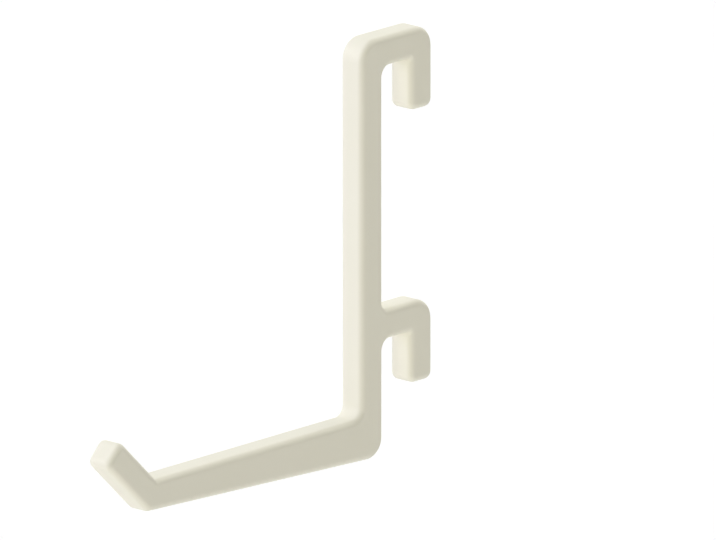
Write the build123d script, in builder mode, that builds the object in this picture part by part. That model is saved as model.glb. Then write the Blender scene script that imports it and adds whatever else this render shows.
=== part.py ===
from build123d import *
import math
import os

# Pegboard hook: one moulded bar that follows a flat outline, rounded along all its edges.
# Two pegs reach back through the board's slots and drop down behind it, the spine stands
# against the front of the board, and a tapered arm carries the load in front of a raised tip.
#
# Frame: X across the width, +Y towards the board, +Z up. The origin is on the back face of
# the spine, half way up between the seats of the two pegs. Sizes are in millimetres.

# --- driving dimensions ---

# The board that the hook is made for
slot_width = 5.0
slot_height = 15.0
slot_pitch = 40.0  # height from one slot to the next in the same column
board_thickness = 5.0

# Room left round the board
side_clearance = 0.8  # between the slot's two sides and the bar's two sides, in all
entry_clearance = 3.0  # between the slot's height and the peg that is fed through it
board_clearance = 0.7  # between the back of the board and the leg behind it

# Depths of the bar, seen from the side
spine_depth = 4.6
peg_height = 4.4
leg_depth = 4.6
arm_root_height = 6.5
arm_end_height = 4.5
tip_thickness = 4.4

# Arm and tip
arm_below_seat = 10.6  # from the lower seat down to the arm's top face
arm_reach = 42.3  # from the spine's front face to the foot of the tip
tip_length = 10.2
tip_rise = 44.0  # degrees above level

# Corners of the outline
shoulder_radius = 3.1  # top of the spine, in front
peg_back_radius = 3.1  # top of each peg, at the back
seat_radius = 1.6  # where a seat meets the spine
leg_root_radius = 0.4  # where a seat meets the leg
leg_end_radius = 1.2
saddle_radius = 1.1  # where the lower peg's top meets the spine
heel_radius = 2.9  # underneath, at the bottom of the spine
arm_root_radius = 1.6
tip_foot_radius = 0.5  # inside of the bend at the arm's end
tip_bend_radius = 1.0  # outside of that bend
tip_end_radius = 1.1

# Long edges, all the way round both sides of the bar
edge_radius = 0.9

# --- places that follow from them ---

bar_width = slot_width - side_clearance
leg_drop = slot_height - entry_clearance - peg_height
upper_seat = slot_pitch / 2
lower_seat = -slot_pitch / 2

spine_front = -spine_depth
leg_front = board_thickness + board_clearance
leg_back = leg_front + leg_depth

arm_top = lower_seat - arm_below_seat
tip_foot = Vector(spine_front - arm_reach, arm_top)
heel = Vector(0, arm_top - arm_root_height)
arm_end_below = tip_foot - Vector(0, arm_end_height)

rise = math.radians(tip_rise)
up_the_tip = Vector(-math.cos(rise), math.sin(rise))
through_the_tip = Vector(-math.sin(rise), -math.cos(rise))
tip_top = tip_foot + up_the_tip * tip_length
tip_front = tip_top + through_the_tip * tip_thickness

# The underside of the arm and the front of the tip run on until they cross
tip_bend = Axis(heel, arm_end_below - heel).intersect(Axis(tip_front, up_the_tip))


def peg_corners(seat):
    """Corners and radii of one peg, from its top at the back, round the leg, to the spine."""
    leg_end = seat - leg_drop
    return [
        ((leg_back, seat + peg_height), peg_back_radius),
        ((leg_back, leg_end), leg_end_radius),
        ((leg_front, leg_end), leg_end_radius),
        ((leg_front, seat), leg_root_radius),
        ((0, seat), seat_radius),
    ]


outline = [
    ((spine_front, upper_seat + peg_height), shoulder_radius),
    *peg_corners(upper_seat),
    ((0, lower_seat + peg_height), saddle_radius),
    *peg_corners(lower_seat),
    (heel, heel_radius),
    (tip_bend, tip_bend_radius),
    (tip_front, tip_end_radius),
    (tip_top, tip_end_radius),
    (tip_foot, tip_foot_radius),
    ((spine_front, arm_top), arm_root_radius),
]
corners = [corner for corner, radius in outline]
radii = [radius for corner, radius in outline]

# --- the hook ---

with BuildPart() as hook:
    with BuildSketch(Plane.YZ):
        with BuildLine():
            FilletPolyline(*corners, radius=radii, close=True)
        make_face()
    extrude(amount=bar_width / 2, both=True)
    sides = hook.faces().filter_by(Axis.X)
    fillet(sides.edges(), radius=edge_radius)

hook.part.label = "hook"
os.makedirs("parts", exist_ok=True)
export_step(hook.part, "parts/hook.step")
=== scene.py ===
"""Pegboard hook in ivory moulded acetal, hung in the air over a pale studio floor."""

import math

import bpy
from mathutils import Matrix, Vector


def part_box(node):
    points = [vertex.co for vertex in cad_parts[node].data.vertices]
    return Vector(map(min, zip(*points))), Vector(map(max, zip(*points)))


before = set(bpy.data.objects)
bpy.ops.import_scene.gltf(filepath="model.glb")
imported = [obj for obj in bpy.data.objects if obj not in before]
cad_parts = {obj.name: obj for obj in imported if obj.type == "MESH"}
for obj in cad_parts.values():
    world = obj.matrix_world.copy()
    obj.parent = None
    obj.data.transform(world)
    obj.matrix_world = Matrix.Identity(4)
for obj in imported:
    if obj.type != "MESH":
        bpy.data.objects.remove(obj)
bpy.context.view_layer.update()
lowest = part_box("hook")[0].z

MM = 0.001


# --- small helpers ---


def colour(code):
    """Linear RGBA of an sRGB hex value such as F0EDDF."""
    channels = [int(code[i : i + 2], 16) / 255 for i in (0, 2, 4)]
    linear = [c / 12.92 if c <= 0.04045 else ((c + 0.055) / 1.055) ** 2.4 for c in channels]
    return (*linear, 1.0)


def node(tree, kind, settings=None, **links):
    """Adds a node, with its settings, its unlinked values and its links.

    A key of settings is an attribute, or the name or number of an input. A link's value is
    an output socket, and its key is the input's name with _ for each space.
    """
    made = tree.nodes.new(kind)
    for key, value in (settings or {}).items():
        if isinstance(key, int) or key in made.inputs:
            made.inputs[key].default_value = value
        else:
            setattr(made, key, value)
    for key, output in links.items():
        socket = int(key[1:]) if key[1:].isdigit() else key.replace("_", " ")
        tree.links.new(output, made.inputs[socket])
    return made


def new_material(name):
    """An empty node material and its node tree."""
    material = bpy.data.materials.new(name)
    material.use_nodes = True
    material.node_tree.nodes.clear()
    return material, material.node_tree


def towards(azimuth, elevation):
    """Unit vector to a place round the hook, in degrees. Azimuth 0 is in front and 90 on the right."""
    a = math.radians(azimuth)
    e = math.radians(elevation)
    return Vector((math.sin(a) * math.cos(e), -math.cos(a) * math.cos(e), math.sin(e)))


def grain(size_mm):
    """Noise scale that draws grains of a real size on coordinates in metres."""
    return 1 / (size_mm * MM)


# --- the hook's plastic ---


def moulded_acetal():
    """Ivory acetal, injection moulded in a finely spark-eroded tool.

    The eye gets an evenly pale, dense surface with a broad, low sheen. The tool's texture breaks
    up the sheen, and the melt's flow leaves the faintest drift of tone along the bar.
    """
    material, tree = new_material("moulded_acetal_ivory")
    place = node(tree, "ShaderNodeTexCoord").outputs["Object"]

    flow = node(tree, "ShaderNodeTexNoise", {"Scale": grain(9), "Detail": 2.0}, Vector=place)
    tone = node(
        tree,
        "ShaderNodeMix",
        {"data_type": "RGBA", 6: colour("EDEBDC"), 7: colour("EFEDDF")},
        _0=flow.outputs["Fac"],
    )

    # Spark-eroded pits are under 0.05 mm across; they are drawn at 0.25 mm so that they show
    pits = node(tree, "ShaderNodeTexNoise", {"Scale": grain(0.25), "Detail": 3.0}, Vector=place)
    gloss = node(
        tree,
        "ShaderNodeMapRange",
        {"To Min": 0.45, "To Max": 0.57},
        Value=pits.outputs["Fac"],
    )
    bump = node(
        tree,
        "ShaderNodeBump",
        {"Strength": 0.15, "Distance": 0.01 * MM},
        Height=pits.outputs["Fac"],
    )

    shader = node(
        tree,
        "ShaderNodeBsdfPrincipled",
        {"Metallic": 0.0, "IOR": 1.48, "Specular IOR Level": 0.25},
        Base_Color=tone.outputs[2],
        Roughness=gloss.outputs["Result"],
        Normal=bump.outputs["Normal"],
    )
    node(tree, "ShaderNodeOutputMaterial", Surface=shader.outputs["BSDF"])
    return material


# --- floor, light and camera ---

FLOOR_DROP = 90 * MM  # below the hook's lowest point, because the hook hangs
FLOOR_SIZE = 6.0  # metres
FLOOR_LIFT = 0.155  # what the lit floor lacks to look white


def looked_at(tree):
    """1 for what the camera sees, also by reflection or through glass, and 0 for light on the hook."""
    path = node(tree, "ShaderNodeLightPath")
    seen = path.outputs["Is Camera Ray"]
    for ray in ("Is Glossy Ray", "Is Transmission Ray"):
        seen = node(
            tree,
            "ShaderNodeMath",
            {"operation": "MAXIMUM"},
            _0=seen,
            _1=path.outputs[ray],
        ).outputs[0]
    return seen


def painted_floor():
    """White matt paint on a smooth board, which throws soft light up from below."""
    material, tree = new_material("white_matt_paint")
    place = node(tree, "ShaderNodeTexCoord").outputs["Object"]
    stipple = node(tree, "ShaderNodeTexNoise", {"Scale": grain(4), "Detail": 2.0}, Vector=place)
    tone = node(
        tree,
        "ShaderNodeMix",
        {"data_type": "RGBA", 6: colour("FAF9F7"), 7: colour("FBFAF8")},
        _0=stipple.outputs["Fac"],
    )
    paint = node(tree, "ShaderNodeBsdfDiffuse", Color=tone.outputs[2])
    plain = node(tree, "ShaderNodeEmission", {"Strength": 0.0})
    lift = node(tree, "ShaderNodeEmission", {"Color": colour("E5EFFF"), "Strength": FLOOR_LIFT})
    glow = node(
        tree,
        "ShaderNodeMixShader",
        _0=looked_at(tree),
        _1=plain.outputs[0],
        _2=lift.outputs[0],
    )
    surface = node(tree, "ShaderNodeAddShader", _0=paint.outputs[0], _1=glow.outputs[0])
    node(tree, "ShaderNodeOutputMaterial", Surface=surface.outputs[0])
    return material


def lay_floor():
    half = FLOOR_SIZE / 2
    z = lowest - FLOOR_DROP
    mesh = bpy.data.meshes.new("studio_floor")
    corners = [(-half, -half, z), (half, -half, z), (half, half, z), (-half, half, z)]
    mesh.from_pydata(corners, [], [(0, 1, 2, 3)])
    floor = bpy.data.objects.new("studio_floor", mesh)
    bpy.context.scene.collection.objects.link(floor)
    mesh.materials.append(painted_floor())


ROOM_LIGHT = 0.01  # how little the room itself lights the hook


def surround():
    """An even, dim room that looks white to the camera."""
    world = bpy.data.worlds.new("pale_room")
    world.use_nodes = True
    tree = world.node_tree
    tree.nodes.clear()
    room = node(tree, "ShaderNodeBackground", {"Color": (ROOM_LIGHT, ROOM_LIGHT, ROOM_LIGHT, 1.0)})
    white = node(tree, "ShaderNodeBackground", {"Color": (1.0, 1.0, 1.0, 1.0)})
    mix = node(
        tree,
        "ShaderNodeMixShader",
        _0=looked_at(tree),
        _1=room.outputs[0],
        _2=white.outputs[0],
    )
    node(tree, "ShaderNodeOutputWorld", Surface=mix.outputs[0])
    bpy.context.scene.world = world


def soft_light(name, azimuth, elevation, level, tint, spread):
    """An even light from far away, as wide as its spread in degrees.

    Azimuth 0 is in front of the hook and 90 on its right. Level 1 alone makes a white surface
    that faces it look white.
    """
    lamp = bpy.data.lights.new(name, "SUN")
    lamp.energy = level * math.pi
    lamp.color = tint
    lamp.angle = math.radians(spread)
    holder = bpy.data.objects.new(name, lamp)
    holder.rotation_mode = "QUATERNION"
    holder.rotation_quaternion = towards(azimuth, elevation).to_track_quat("Z", "Y")
    bpy.context.scene.collection.objects.link(holder)


VIEW_AZIMUTH = 42.58
VIEW_ELEVATION = 15.36
VIEW_ROLL = -0.03
LENS = 1200.0  # millimetres, so long that upright edges stay parallel
SENSOR = 36.0  # millimetres
CAMERA_SIDE = -2.12 * MM
CAMERA_RISE = -9.65 * MM
CAMERA_DISTANCE = 3371.8 * MM
FARTHEST_SEEN = 20.0  # metres


def set_camera():
    """A very long lens, to the right of the hook and a little above it."""
    azimuth = math.radians(VIEW_AZIMUTH)
    roll = math.radians(VIEW_ROLL)
    back = towards(VIEW_AZIMUTH, VIEW_ELEVATION)
    level_right = Vector((math.cos(azimuth), math.sin(azimuth), 0))
    level_up = back.cross(level_right)
    right = level_right * math.cos(roll) + level_up * math.sin(roll)
    up = level_up * math.cos(roll) - level_right * math.sin(roll)

    lens = bpy.data.cameras.new("long_lens")
    lens.lens = LENS
    lens.sensor_width = SENSOR
    lens.clip_end = FARTHEST_SEEN
    camera = bpy.data.objects.new("long_lens", lens)
    turn = Matrix((right, up, back)).transposed()
    camera.matrix_world = Matrix.LocRotScale(
        back * CAMERA_DISTANCE + right * CAMERA_SIDE + up * CAMERA_RISE,
        turn.to_quaternion(),
        None,
    )
    bpy.context.scene.collection.objects.link(camera)
    bpy.context.scene.camera = camera


# --- put together ---

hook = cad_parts["hook"]
plastic = moulded_acetal()
for index in range(len(hook.material_slots)):
    hook.material_slots[index].material = plastic

lay_floor()
surround()
# A little cool from the front left, a little warm from the front right and the back, so that
# faces turned different ways differ in tone
soft_light("front_left", -45, 15, 0.455, (1.0, 1.0, 1.20), 50)
soft_light("front_right", 34, 15, 0.41, (1.0, 0.98, 0.87), 55)
soft_light("overhead", -90, 79, 0.49, (1.0, 1.0, 0.98), 18)
soft_light("back_left", -135, 30, 0.06, (1.0, 1.0, 1.0), 50)
soft_light("back", 180, 30, 0.37, (1.0, 0.97, 0.90), 50)
set_camera()
bpy.context.scene.view_settings.view_transform = "Standard"
